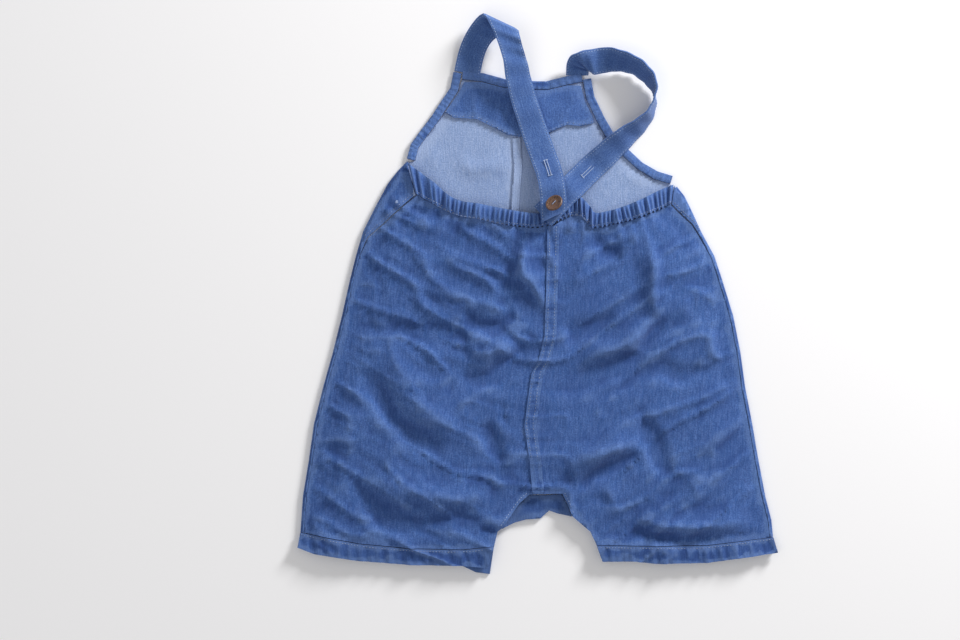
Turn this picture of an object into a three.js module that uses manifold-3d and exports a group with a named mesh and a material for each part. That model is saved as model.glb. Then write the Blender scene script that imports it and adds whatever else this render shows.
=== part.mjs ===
// Baby's suspender shorts in light denim, laid out flat with the back uppermost.
//
// Millimetres, +Z up. The surface it lies on is z = 0, +Y runs from the leg hems to the straps, and the
// origin is below the middle of the outline. "Left" and "right" are the wearer's own, and the wearer's
// left is at -X. The front panels lie flat underneath. They turn up round the side edges and come over
// to the side seams, where the back panels begin. Every piece keeps SEAM clear of its neighbours.

import * as THREE from "three";
import * as BufferGeometryUtils from "three/addons/utils/BufferGeometryUtils.js";
import Module from "manifold-3d";

const wasm = await Module();
wasm.setup();

// ---------------------------------------------------------------- driving sizes

const CLOTH = 1.2;              // one layer of denim with its turned edges
const SEAM = 0.3;               // clearance between sewn pieces
const FLOOR_TO_BACK = 2.4;      // underside of the back panels at the side edges
const EDGE_HEIGHT = FLOOR_TO_BACK + CLOTH;
const PUFF = 2.3;               // how much the loose back panels stand up inside the side edges
const PUFF_REACH = 34;          // distance from a side edge to the full puff
const LIP = 3;                  // width of front cloth that shows on the back at a plain side edge
const CELL = 11;                // spacing of the creases' grid in the back panels

const GRID_LEFT = -215;          // the grid of creases covers all of the back
const GRID_LOW = -245;
const GRID_WIDTH = 430;
const GRID_LENGTH = 380;
const SIDE_SEAM_END = 46;        // height at which a side seam meets the side edge
const FRONT_HEM = 1.8;           // thickness of the hem's front half
const FACING_LOW = 133;          // the inner fell stops below the facing
const HOLE_OFFSET = 1.8;         // thread holes of the button, from its middle
const HEM = 2.0;                // turned-up leg hem, thickness
const PLACKET = 3.0;            // crotch placket, thickness
const BINDING_WIDTH = 7;
const BINDING = 2.4;            // armhole and neck binding, thickness
const FELL = 1.0;               // flat-felled centre-back seam, thickness
const FELL_WIDTH = 10;
const INNER_FELL = 0.6;         // the centre-front seam's fell, on the inside
const INNER_FELL_WIDTH = 7;

const CASING = 2.0;             // elastic casing between its pleats
const PLEAT = 1.1;              // how far a pleat of the casing stands up
const PLEAT_PITCH = 4.3;

const STRAP_WIDTH = 22;
const STRAP = 2.0;
const BUTTON_DIAMETER = 15.2;   // a 24-line button
const BUTTON = 2.6;

const DENIM = { color: 0x4a6ba5, roughness: 0.9, metalness: 0 };
const DENIM_DARK = { color: 0x425c8b, roughness: 0.9, metalness: 0 };
const DENIM_INSIDE = { color: 0x8ea4cc, roughness: 0.95, metalness: 0 };
const STRAP_DENIM = { color: 0x5274ae, roughness: 0.9, metalness: 0 };
const COCONUT = { color: 0x7a5a48, roughness: 0.6, metalness: 0 };

// ---------------------------------------------------------------- the cut, seen from above

// side edges, from the underarm to the corner of the leg hem
const LEFT_EDGE = [
  [-110.5, 113.5], [-119, 104.5], [-126.7, 94.5], [-137.7, 74], [-147.9, 53.5], [-153.9, 33], [-159, 12.5],
  [-165.8, -18], [-173.4, -48.5], [-181.9, -79], [-189.6, -110], [-193.8, -140], [-198.9, -171], [-201, -201.5],
];
const RIGHT_EDGE = [
  [118.7, 92], [125, 84], [130, 74], [139.4, 53.5], [150.5, 33], [157.3, 12.5], [166.6, -18], [172.6, -48.5],
  [176.8, -79], [182.8, -110], [187.9, -140], [193.8, -171], [198.9, -191], [200.4, -205.5],
];
// side seams: front cloth comes over to them from the side edge
const LEFT_SIDE_SEAM = [[-102.9, 85], [-110.5, 79], [-117.3, 73], [-131, 60.4], [-144.2, 49]];
const RIGHT_SIDE_SEAM = [[114.4, 77], [122.4, 68.9], [131.8, 60.4], [136.8, 52.5]];

// upper and lower edge of the elastic casing across the back, and how far it is lifted off the panels
const CASING_ROWS = [
  { lowX: -103.2, lowY: 86.2, topX: -109.4, topY: 111.5, lift: 0 },
  { lowX: -95, lowY: 81, topX: -98, topY: 103, lift: 0.3 },
  { lowX: -85, lowY: 75.8, topX: -86, topY: 94, lift: 0.6 },
  { lowX: -76, lowY: 71, topX: -75, topY: 84.3, lift: 0.9 },
  { lowX: -65, lowY: 67, topX: -64, topY: 79.4, lift: 0.9 },
  { lowX: -50, lowY: 64.6, topX: -49, topY: 77, lift: 0.9 },
  { lowX: -30, lowY: 60.2, topX: -28.5, topY: 73, lift: 0.8 },
  { lowX: -15, lowY: 58, topX: -14, topY: 70.5, lift: 0.6 },
  { lowX: 0, lowY: 57, topX: 0, topY: 69, lift: 0.3 },
  { lowX: 12, lowY: 60, topX: 9, topY: 71.5, lift: 0.3 },
  { lowX: 22, lowY: 64.5, topX: 19, topY: 76, lift: 0.3 },
  { lowX: 31, lowY: 68, topX: 31, topY: 81, lift: 0.3 },
  { lowX: 38, lowY: 66.5, topX: 37, topY: 82.5, lift: 0.5 },
  { lowX: 44, lowY: 59.5, topX: 44.5, topY: 75, lift: 1 },
  { lowX: 48.5, lowY: 56.8, topX: 49, topY: 69.5, lift: 0.9 },
  { lowX: 60, lowY: 59, topX: 60, topY: 71, lift: 0.9 },
  { lowX: 75, lowY: 62.2, topX: 72, topY: 74.5, lift: 0.9 },
  { lowX: 90, lowY: 67, topX: 87, topY: 80.5, lift: 0.6 },
  { lowX: 100, lowY: 71, topX: 98, topY: 86, lift: 0.4 },
  { lowX: 108, lowY: 74.6, topX: 107, topY: 90.2, lift: 0.2 },
  { lowX: 113.7, lowY: 77.8, topX: 115.6, topY: 93.5, lift: 0 },
];

// centre-back seam, from the casing to the crotch, and the centre-front seam on the inside of the front
const BACK_SEAM = [
  [18.7, 58.4], [17.4, 4], [16.2, -34], [11, -55.5], [5, -67], [0.9, -97], [-0.9, -111.5], [3.4, -140], [6, -168.8],
];
const FRONT_SEAM = [[-14, 173.9], [-17.4, 134], [-16.2, 111], [-19, 73], [-8, -60], [6, -168.8]];

// crotch: where the panels end, and the free edge of the placket below them
const LEFT_INSEAM = [[-7, -169.4], [-15.3, -177], [-29.8, -197.6], [-33.6, -200.6], [-36.6, -213.2]];
const RIGHT_INSEAM = [[21.3, -168.6], [25.5, -177], [29.6, -187.4], [45, -200.6], [50.4, -212.2]];
const PLACKET_EDGE = [
  [-29.4, -198.4], [-19.6, -193.4], [-9.4, -190.6], [2.6, -189.8], [10.2, -183], [17, -185.4], [29, -188],
];

// leg hems: stitch line, the back's bottom edge and the front's bottom edge
const LEFT_HEM_LINE = [[-201, -201.5], [-151.3, -210.8], [-108, -215], [-63.8, -216], [-36.6, -213.2]];
const LEFT_HEM_BACK = [[-203.1, -214], [-189.6, -219.3], [-151.3, -225.3], [-108, -228.7], [-63.8, -229.5], [-42, -231.5]];
const LEFT_HEM_FRONT = [[-201.6, -212.5], [-150, -223], [-108, -226.5], [-66, -229], [-52, -235.5], [-40.2, -237]];
const RIGHT_HEM_LINE = [[50.4, -212.2], [101.2, -213], [143.7, -212.5], [200.4, -205.5]];
const RIGHT_HEM_BACK = [[55.3, -226], [82.5, -225.8], [101, -227.8], [143.7, -227], [204, -218.5]];
const RIGHT_HEM_FRONT = [[54.6, -224], [82.5, -223.8], [101, -225.4], [143.7, -224.6], [202.4, -216.5]];

// bib: middle of the armhole bindings, lower edge of the neck band, and lower edge of the facing
const LEFT_ARMHOLE = [
  [-67.6, 188.5], [-70.4, 174.5], [-78.5, 162.5], [-86.2, 150.5], [-96.8, 136.4], [-104.2, 126.2], [-107.2, 114.8],
];
const RIGHT_ARMHOLE = [
  [42.3, 183.2], [45.2, 167.4], [53.9, 149.2], [63.3, 133], [75.7, 120.3], [87.4, 109.4], [101, 101.6], [114, 97.6],
];
const NECK = [
  [-63.4, 186.7], [-45.9, 184.6], [-27.2, 179.6], [-5.1, 178], [8, 177.8], [24.7, 181.8], [38, 184.4],
];
const FACING_EDGE = [
  [-78.2, 154.7], [-70.6, 150.5], [-51, 149.2], [-36.6, 142], [-25.5, 136], [-15.3, 134.3], [-2, 135],
  [11.9, 138.6], [25.5, 144.5], [37.4, 143.2], [48, 146],
];

// ---------------------------------------------------------------- folds of the loose back panels

// A fold follows its points; height is positive for a ridge and negative for a trough. "left" and
// "right" are its half-widths on either side of the direction in which the points run.
const FOLDS = [
  // wearer's left panel
  { height: 2.6, left: 12, right: 7, points: [[-11, 53], [-13, 26], [-2, 4], [6, -14]] },
  { height: -2.2, left: 9, right: 12, points: [[-80, 66], [-104, 68], [-120, 58]] },
  { height: 2.0, left: 9, right: 10, points: [[-103, 76], [-117, 66], [-130, 54]] },
  { height: -2.6, left: 8, right: 9, points: [[-64, -13], [-52, -24], [-34, -25], [-15, -15]] },
  { height: -2.4, left: 10, right: 13, points: [[-155, -26], [-110, -30], [-72, -32], [-49, -36]] },
  { height: -2.8, left: 8, right: 12, points: [[-70, -68], [-42, -70], [-27, -60], [-4, -38]] },
  { height: 2.4, left: 16, right: 14, points: [[-60, -50], [-35, -48], [-20, -40]] },
  { height: -2.8, left: 10, right: 12, points: [[-150, -64], [-137, -84], [-102, -120], [-76, -136]] },
  { height: 2.2, left: 18, right: 16, points: [[-130, -66], [-95, -96], [-66, -112]] },
  { height: -2.2, left: 8, right: 10, points: [[-48, -106], [-40, -124], [-30, -154]] },
  { height: 2.8, left: 18, right: 16, points: [[-150, -142], [-116, -166], [-70, -172], [-34, -168]] },
  { height: -2.8, left: 12, right: 12, points: [[-160, -156], [-134, -183], [-108, -191], [-36, -189]] },
  // wearer's right panel
  { height: -2.4, left: 9, right: 9, points: [[48, 52], [57, 41], [69, 28]] },
  { height: 2.2, left: 8, right: 12, points: [[94, 56], [98, 16], [100, -20]] },
  { height: -2.4, left: 10, right: 9, points: [[96, 66], [115, 66], [134, 50]] },
  { height: -2.2, left: 10, right: 14, points: [[20, -34], [37, -28], [67, -17]] },
  { height: 2.6, left: 14, right: 14, points: [[102, -24], [70, -44], [36, -58]] },
  { height: -3.0, left: 10, right: 14, points: [[129, -15], [98, -37], [73, -57], [37, -76], [9, -90]] },
  { height: -1.8, left: 9, right: 10, points: [[158, -60], [125, -69], [101, -65], [48, -88]] },
  { height: -2.4, left: 10, right: 9, points: [[82, -94], [101, -131], [110, -158]] },
  { height: 2.6, left: 14, right: 16, points: [[24, -148], [58, -134], [86, -122]] },
  { height: -2.6, left: 12, right: 9, points: [[86, -132], [59, -147], [26, -166]] },
  { height: 2.4, left: 12, right: 14, points: [[84, -190], [124, -198], [186, -194]] },
  { height: -2.4, left: 10, right: 8, points: [[54, -200], [101, -204], [124, -209], [195, -203]] },
];

// ---------------------------------------------------------------- straps and button

// Each row is a section across a strap: its middle, the direction in which its width runs seen from
// above (azimuth, from +X) and the width's slope (tilt, past 90 where the strap has turned over).
// "across" is the section's length where the strap bends at a slant to its own length.
const LEFT_STRAP = [
  { x: -58.9, y: 190.9, z: 1.4, azimuth: 170, tilt: 0, across: 22 },
  { x: -56.2, y: 203, z: 2.6, azimuth: 163, tilt: 0, across: 22 },
  { x: -52.2, y: 213.5, z: 4.6, azimuth: 157, tilt: 0, across: 22 },
  { x: -46.6, y: 221.8, z: 7, azimuth: 150, tilt: 0, across: 23 },
  { x: -40, y: 227.2, z: 9.6, azimuth: 146, tilt: 0, across: 26 },
  { x: -33.6, y: 229.8, z: 12.6, azimuth: 152, tilt: 0, across: 30 },
  { x: -31, y: 229.4, z: 16, azimuth: 156, tilt: 0, across: 31 },
  { x: -29, y: 225.6, z: 18.8, azimuth: 156, tilt: 0, across: 29 },
  { x: -25.8, y: 217.6, z: 20, azimuth: 160, tilt: 0, across: 25 },
  { x: -22.4, y: 208, z: 19, azimuth: 165, tilt: 8, across: 22.5 },
  { x: -19, y: 197, z: 16.4, azimuth: 173, tilt: 20, across: 22 },
  { x: -15.8, y: 181.5, z: 12, azimuth: 186, tilt: 16, across: 22 },
  { x: -10.6, y: 163, z: 7.6, azimuth: 192, tilt: 8, across: 22 },
  { x: -4.4, y: 144.5, z: 5.2, azimuth: 199, tilt: 0, across: 22 },
  { x: 3.8, y: 121, z: 6.4, azimuth: 199, tilt: 0, across: 22 },
  { x: 9.6, y: 104.5, z: 10.4, azimuth: 196, tilt: 0, across: 22 },
  { x: 12.6, y: 90, z: 13.8, azimuth: 187, tilt: -4, across: 22 },
  { x: 13.4, y: 78, z: 15, azimuth: 184, tilt: -6, across: 22 },
  { x: 13.4, y: 65.7, z: 14.8, azimuth: 206, tilt: -5, across: 22.6 },
];
const RIGHT_STRAP = [
  { x: 34.2, y: 189.4, z: 1.4, azimuth: 180, tilt: 0, across: 19 },
  { x: 34.4, y: 193.4, z: 4.4, azimuth: 166, tilt: 14, across: 20 },
  { x: 36, y: 195.8, z: 8, azimuth: 148, tilt: 30, across: 22 },
  { x: 40.4, y: 197, z: 10, azimuth: 120, tilt: 36, across: 22 },
  { x: 47.4, y: 196.8, z: 9.4, azimuth: 98, tilt: 18, across: 22 },
  { x: 57.6, y: 198.6, z: 8.6, azimuth: 92, tilt: 22, across: 22 },
  { x: 66.8, y: 198.4, z: 9.6, azimuth: 84, tilt: 40, across: 22 },
  { x: 76.2, y: 195.8, z: 10.6, azimuth: 70, tilt: 51, across: 22 },
  { x: 86, y: 191, z: 11.6, azimuth: 52, tilt: 60, across: 22 },
  { x: 93.8, y: 183.6, z: 12.2, azimuth: 40, tilt: 67, across: 22 },
  { x: 97.9, y: 175, z: 12.6, azimuth: 20, tilt: 80, across: 22 },
  { x: 99.2, y: 166, z: 12.6, azimuth: 4, tilt: 97, across: 22 },
  { x: 97.2, y: 156.6, z: 12.2, azimuth: -20, tilt: 106, across: 22 },
  { x: 90.8, y: 147.4, z: 11.6, azimuth: -36, tilt: 117, across: 22 },
  { x: 81.2, y: 138.6, z: 10.4, azimuth: -43, tilt: 131, across: 22 },
  { x: 70, y: 129.6, z: 10.4, azimuth: -46, tilt: 147, across: 22 },
  { x: 56.4, y: 117.4, z: 7.4, azimuth: -47, tilt: 163, across: 22 },
  { x: 43, y: 105, z: 6.4, azimuth: -47, tilt: 174, across: 22 },
  { x: 31.4, y: 93.2, z: 9.4, azimuth: -47, tilt: 178, across: 22 },
  { x: 19.4, y: 81.2, z: 10.4, azimuth: -48, tilt: 180, across: 22 },
  { x: 4.6, y: 66.4, z: 10.2, azimuth: -48, tilt: 180, across: 22 },
];

// the button leans out of its buttonhole towards the wearer's left shoulder
const BUTTON_PLACE = { x: 14.4, y: 76.2, z: 20.3, leanTowards: 131, lean: 40 };

// ---------------------------------------------------------------- small geometry helpers

const toRadians = THREE.MathUtils.degToRad;
const clamp = THREE.MathUtils.clamp;
const smooth = (value) => THREE.MathUtils.smoothstep(value, 0, 1);
const last = (list) => list[list.length - 1];
const reversed = (list) => [...list].reverse();
const shifted = (points, dx, dy) => points.map(([x, y]) => [x + dx, y + dy]);

function asManifold(geometry) {
  geometry.deleteAttribute("normal");
  geometry.deleteAttribute("uv");
  const merged = BufferGeometryUtils.mergeVertices(geometry, 1e-4);
  const mesh = new wasm.Mesh({
    numProp: 3,
    vertProperties: new Float32Array(merged.attributes.position.array),
    triVerts: new Uint32Array(merged.index.array),
  });
  return new wasm.Manifold(mesh);
}

function asGeometry(solid) {
  const mesh = solid.getMesh();
  const geometry = new THREE.BufferGeometry();
  geometry.setAttribute("position", new THREE.BufferAttribute(mesh.vertProperties, 3));
  geometry.setIndex(new THREE.BufferAttribute(mesh.triVerts, 1));
  geometry.computeVertexNormals();
  return geometry;
}

// the prism that an outline seen from above fills between two heights
function prism(outline, low, high) {
  const apart = ([x, y], [nextX, nextY]) => Math.hypot(x - nextX, y - nextY) > 0.05;
  const corners = outline.filter((point, k) => apart(point, outline[(k + 1) % outline.length]));
  const shape = new THREE.Shape(corners.map(([x, y]) => new THREE.Vector2(x, y)));
  const geometry = new THREE.ExtrudeGeometry(shape, { depth: high - low, bevelEnabled: false });
  geometry.translate(0, 0, low);
  return asManifold(geometry);
}

// a closed tube through sections that all have the same number of points
function loft(sections) {
  const count = sections[0].length;
  const index = [];
  for (let row = 0; row + 1 < sections.length; row += 1) {
    for (let side = 0; side < count; side += 1) {
      const a = row * count + side;
      const b = row * count + ((side + 1) % count);
      index.push(a, b, a + count, b, b + count, a + count);
    }
  }
  const end = (sections.length - 1) * count;
  const flat = THREE.ShapeUtils.triangulateShape(flattened(sections[0]), []);
  const flatEnd = THREE.ShapeUtils.triangulateShape(flattened(last(sections)), []);
  for (const [a, b, c] of flat) {
    index.push(a, c, b);
  }
  for (const [a, b, c] of flatEnd) {
    index.push(end + a, end + b, end + c);
  }
  const geometry = new THREE.BufferGeometry().setFromPoints(sections.flat());
  geometry.setIndex(index);
  let solid = asManifold(geometry);
  if (solid.volume() < 0) {
    geometry.setIndex(reversed(index));
    solid = asManifold(geometry);
  }
  return solid;
}

// a section's own flat coordinates, in which its end cap is divided into triangles
function flattened(section) {
  const origin = section[0];
  const across = section[1].clone().sub(origin).normalize();
  const normal = new THREE.Vector3();
  for (let k = 1; k + 1 < section.length; k += 1) {
    const edge = section[k].clone().sub(origin);
    normal.add(edge.cross(section[k + 1].clone().sub(origin)));
  }
  const up = normal.normalize().cross(across);
  return section.map((point) => {
    const offset = point.clone().sub(origin);
    return new THREE.Vector2(offset.dot(across), offset.dot(up));
  });
}

// nearest place on a line of points: how far it is, on which side, and how far along it lies (0 to 1)
function nearest(points, x, y) {
  let best = { distance: Infinity, side: 1, along: 0 };
  points.slice(1).forEach(([bx, by], index) => {
    const [ax, ay] = points[index];
    const length = Math.hypot(bx - ax, by - ay);
    const part = clamp(((x - ax) * (bx - ax) + (y - ay) * (by - ay)) / length ** 2, 0, 1);
    const distance = Math.hypot(x - ax - part * (bx - ax), y - ay - part * (by - ay));
    if (distance < best.distance) {
      const side = Math.sign((bx - ax) * (y - ay) - (by - ay) * (x - ax)) || 1;
      best = { distance, side, along: (index + part) / (points.length - 1) };
    }
  });
  return best;
}

// ---------------------------------------------------------------- the surface of the back

function foldHeight(fold, x, y) {
  const near = nearest(fold.points, x, y);
  const width = near.side > 0 ? fold.left : fold.right;
  const profile = smooth(1 - near.distance / width);
  const ends = smooth(0.25 + 4 * Math.min(near.along, 1 - near.along));
  return fold.height * profile * ends;
}

// underside of the back panels
function backHeight(x, y) {
  const edge = Math.min(nearest(LEFT_EDGE, x, y).distance, nearest(RIGHT_EDGE, x, y).distance);
  const loose = smooth((edge - LIP) / PUFF_REACH);
  let height = PUFF * loose;
  for (const fold of FOLDS) {
    height += foldHeight(fold, x, y) * smooth((edge - LIP) / (0.3 * PUFF_REACH));
  }
  return FLOOR_TO_BACK + Math.max(height, 0);
}

// a sheet over the whole back, "lift" above the panels' underside
function backSheet(lift, thickness) {
  const columns = Math.ceil(GRID_WIDTH / CELL);
  const rows = Math.ceil(GRID_LENGTH / CELL);
  const points = [];
  for (const level of [lift, lift + thickness]) {
    for (let row = 0; row <= rows; row += 1) {
      for (let column = 0; column <= columns; column += 1) {
        const x = GRID_LEFT + column * CELL;
        const y = GRID_LOW + row * CELL;
        points.push(new THREE.Vector3(x, y, backHeight(x, y) + level));
      }
    }
  }
  const layer = (columns + 1) * (rows + 1);
  const at = (row, column) => row * (columns + 1) + column;
  const index = [];
  for (let row = 0; row < rows; row += 1) {
    for (let column = 0; column < columns; column += 1) {
      const [a, b] = [at(row, column), at(row, column + 1)];
      const [c, d] = [at(row + 1, column), at(row + 1, column + 1)];
      index.push(layer + a, layer + b, layer + d, layer + a, layer + d, layer + c);
      index.push(a, d, b, a, c, d);
    }
  }
  const rim = [];
  for (let column = 0; column < columns; column += 1) rim.push(at(0, column));
  for (let row = 0; row < rows; row += 1) rim.push(at(row, columns));
  for (let column = columns; column > 0; column -= 1) rim.push(at(rows, column));
  for (let row = rows; row > 0; row -= 1) rim.push(at(row, 0));
  rim.forEach((a, k) => {
    const b = rim[(k + 1) % rim.length];
    index.push(a, b, layer + b, a, layer + b, layer + a);
  });
  const geometry = new THREE.BufferGeometry().setFromPoints(points);
  geometry.setIndex(index);
  return asManifold(geometry);
}

const onBack = (outline, lift, thickness) => backSheet(lift, thickness).intersect(prism(outline, -5, 40));

// ---------------------------------------------------------------- pieces

const garment = new THREE.Group();

function add(name, solid, look) {
  const mesh = new THREE.Mesh(asGeometry(solid), new THREE.MeshStandardMaterial(look));
  mesh.name = name;
  garment.add(mesh);
}

// a band of even width about a line of points, seen from above
function strip(points, width) {
  const sides = [[], []];
  points.forEach(([x, y], k) => {
    const before = points[Math.max(k - 1, 0)];
    const after = points[Math.min(k + 1, points.length - 1)];
    const direction = new THREE.Vector2(after[0] - before[0], after[1] - before[1]).normalize();
    sides[0].push([x - direction.y * width / 2, y + direction.x * width / 2]);
    sides[1].push([x + direction.y * width / 2, y - direction.x * width / 2]);
  });
  return [...sides[0], ...reversed(sides[1])];
}

// a line moved sideways; positive is to the left of its direction
function beside(points, distance) {
  const band = strip(points, Math.abs(distance) * 2);
  return distance > 0 ? band.slice(0, points.length) : reversed(band.slice(points.length));
}

const CASING_LOW = CASING_ROWS.map((row) => [row.lowX, row.lowY]);

// The front cloth turns up round a side edge: a C-shaped section runs along the edge.
function sideRoll(edge, inwards) {
  const radius = EDGE_HEIGHT / 2;
  const sections = edge.map(([x, y], k) => {
    const before = edge[Math.max(k - 1, 0)];
    const after = edge[Math.min(k + 1, edge.length - 1)];
    const along = new THREE.Vector2(after[0] - before[0], after[1] - before[1]).normalize();
    const inX = -along.y * inwards;
    const inY = along.x * inwards;
    const section = [];
    for (const [reach, turns] of [[radius, [0, 45, 90, 135, 180]], [radius - CLOTH, [180, 90, 0]]]) {
      for (const turn of turns) {
        const inside = radius - reach * Math.sin(toRadians(turn));
        const z = radius - reach * Math.cos(toRadians(turn));
        section.push(new THREE.Vector3(x + inX * inside, y + inY * inside, z));
      }
    }
    section.splice(5, 0, new THREE.Vector3(x + inX * LIP, y + inY * LIP, EDGE_HEIGHT));
    section.splice(6, 0, new THREE.Vector3(x + inX * LIP, y + inY * LIP, FLOOR_TO_BACK));
    section.push(new THREE.Vector3(x + inX * LIP, y + inY * LIP, CLOTH));
    section.push(new THREE.Vector3(x + inX * LIP, y + inY * LIP, 0));
    return section;
  });
  return loft(sections);
}

// a point of a side edge moved inwards
function inner(edge, k, inwards, distance) {
  const before = edge[Math.max(k - 1, 0)];
  const after = edge[Math.min(k + 1, edge.length - 1)];
  const along = new THREE.Vector2(after[0] - before[0], after[1] - before[1]).normalize();
  return [edge[k][0] - along.y * inwards * distance, edge[k][1] + along.x * inwards * distance];
}

// the whole side edge moved inwards
const insideEdge = (edge, inwards, distance) => edge.map((point, k) => inner(edge, k, inwards, distance));

// One front: a flat sheet from the bib to the leg hem, its rounded side edge, and the part of it that
// comes over to the side seam on the back.
function front(name, { edge, inwards, armhole, neck, hemLine, inseam, sideSeam, casingEnd }) {
  const rim = insideEdge(edge, inwards, EDGE_HEIGHT / 2);
  const centre = FRONT_SEAM.map(([x, y]) => [x - inwards * SEAM / 2, y]);
  const bibSide = beside(armhole, inwards * (BINDING_WIDTH / 2 + SEAM)).slice(1);
  const sheet = prism([...neck, ...bibSide, ...rim, ...hemLine.slice(1), ...reversed(inseam), ...reversed(centre)], 0, CLOTH);
  const lip = insideEdge(edge, inwards, LIP).filter(([, y]) => y < SIDE_SEAM_END);
  const flap = onBack([...rim, ...reversed([...casingEnd, ...sideSeam, ...lip])], 0, CLOTH);
  add(name, sheet.add(sideRoll(edge, inwards)).add(flap), DENIM_INSIDE);
}

function back(name, { edge, inwards, sideSeam, casing, hemLine, inseam, centre }) {
  const lip = insideEdge(edge, inwards, LIP + SEAM).filter(([, y]) => y < SIDE_SEAM_END);
  const side = [...shifted(sideSeam, inwards * 3 * SEAM, -3 * SEAM), ...lip];
  const top = shifted(casing, 0, -SEAM - 0.2);
  const outline = [...side, ...shifted(hemLine.slice(1), 0, SEAM), ...reversed(inseam), ...reversed(centre), ...reversed(top)];
  add(name, onBack(outline, 0, CLOTH), DENIM);
}

const CASING_LEFT_COUNT = 11;     // casing rows that lie over the wearer's left back panel
const backCentre = shifted(BACK_SEAM, -FELL_WIDTH / 2, 0);
const underNeck = beside(NECK, -(BINDING_WIDTH / 2 + SEAM));

front("front_left", {
  edge: LEFT_EDGE, inwards: 1, armhole: LEFT_ARMHOLE, inseam: LEFT_INSEAM, sideSeam: LEFT_SIDE_SEAM,
  neck: reversed(underNeck.slice(0, 3)), hemLine: LEFT_HEM_LINE,
  casingEnd: [[-110.1, 110.8], [-103.8, 86]],
});
front("front_right", {
  edge: RIGHT_EDGE, inwards: -1, armhole: RIGHT_ARMHOLE, inseam: RIGHT_INSEAM, sideSeam: RIGHT_SIDE_SEAM,
  neck: underNeck.slice(3),
  hemLine: reversed(RIGHT_HEM_LINE), casingEnd: [[116.5, 93], [114.5, 77.9]],
});
back("back_left", {
  edge: LEFT_EDGE, inwards: 1, sideSeam: LEFT_SIDE_SEAM, hemLine: LEFT_HEM_LINE, inseam: LEFT_INSEAM,
  centre: shifted(backCentre, -SEAM / 2, 0), casing: CASING_LOW.slice(0, CASING_LEFT_COUNT - 1),
});
back("back_right", {
  edge: RIGHT_EDGE, inwards: -1, sideSeam: RIGHT_SIDE_SEAM, hemLine: reversed(RIGHT_HEM_LINE),
  inseam: RIGHT_INSEAM, centre: shifted(backCentre, SEAM / 2, 0),
  casing: reversed(CASING_LOW.slice(CASING_LEFT_COUNT - 1)),
});
for (const [side, line, backEdge, frontEdge] of [
  ["left", LEFT_HEM_LINE, LEFT_HEM_BACK, LEFT_HEM_FRONT],
  ["right", RIGHT_HEM_LINE, RIGHT_HEM_BACK, RIGHT_HEM_FRONT],
]) {
  const top = shifted(line, 0, -SEAM);
  add(`back_hem_${side}`, onBack([...top, ...reversed(backEdge)], 0, HEM), DENIM_DARK);
  add(`front_hem_${side}`, prism([...top, ...reversed(frontEdge)], 0, FRONT_HEM), DENIM_DARK);
}
const overSeam = [...BACK_SEAM, ...reversed(shifted(BACK_SEAM, -FELL_WIDTH, 0))];
add("back_centre_fell", onBack(overSeam, CLOTH + SEAM, FELL), DENIM);
const placketTop = [
  ...reversed(LEFT_INSEAM.slice(0, 3)), [6, -169.4], ...RIGHT_INSEAM.slice(0, 3),
];
add("crotch_placket", prism([...shifted(placketTop, 0, -0.6), ...reversed(PLACKET_EDGE)], 0, PLACKET), DENIM_DARK);

const innerSeam = FRONT_SEAM.slice(1).map(([x, y]) => [x, Math.min(y, FACING_LOW)]);
add("front_centre_fell", prism(strip(innerSeam, INNER_FELL_WIDTH), CLOTH + SEAM, CLOTH + SEAM + INNER_FELL),
  DENIM_INSIDE);
const facingSides = [
  [47, 151.5], [40.5, 164], [37, 177.5], ...reversed(shifted(underNeck.slice(1, 6), 0, -SEAM)), [-62, 180.5],
  [-66, 172], [-74.8, 159.5],
];
add("bib_facing", prism([...FACING_EDGE, ...facingSides], CLOTH + SEAM, 2 * CLOTH + SEAM), DENIM);
add("neck_band", prism(strip(NECK, BINDING_WIDTH), 0, BINDING), DENIM);
add("armhole_binding_left", prism(strip(LEFT_ARMHOLE, BINDING_WIDTH), 0, BINDING), DENIM);
add("armhole_binding_right", prism(strip(RIGHT_ARMHOLE, BINDING_WIDTH), 0, BINDING), DENIM);

// a row of a table with numbers, at a fractional place between its rows
function between(rows, place) {
  const k = Math.min(Math.floor(place), rows.length - 2);
  const row = {};
  for (const key of Object.keys(rows[0])) {
    row[key] = THREE.MathUtils.lerp(rows[k][key], rows[k + 1][key], place - k);
  }
  return row;
}

// elastic casing: one band with upright pleats across the whole back
function casing() {
  const sections = [];
  let travelled = 0;
  for (let k = 0; k + 1 < CASING_ROWS.length; k += 1) {
    const [here, next] = [CASING_ROWS[k], CASING_ROWS[k + 1]];
    const length = Math.hypot(next.lowX - here.lowX, next.lowY - here.lowY);
    const steps = Math.max(2, 2 * Math.round(length / PLEAT_PITCH));
    for (let step = 0; step < steps + (k + 2 === CASING_ROWS.length ? 1 : 0); step += 1) {
      const row = between(CASING_ROWS, k + step / steps);
      const pleat = step % 2 ? PLEAT * (0.75 + 0.25 * Math.sin(travelled)) : 0;
      const z = backHeight(row.lowX, row.lowY) + row.lift;
      sections.push([
        new THREE.Vector3(row.lowX, row.lowY, z), new THREE.Vector3(row.topX, row.topY, z),
        new THREE.Vector3(row.topX, row.topY, z + CASING + pleat),
        new THREE.Vector3(row.lowX, row.lowY, z + CASING + pleat),
      ]);
      travelled += length / steps;
    }
  }
  return loft(sections);
}
add("back_casing", casing(), DENIM);

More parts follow.
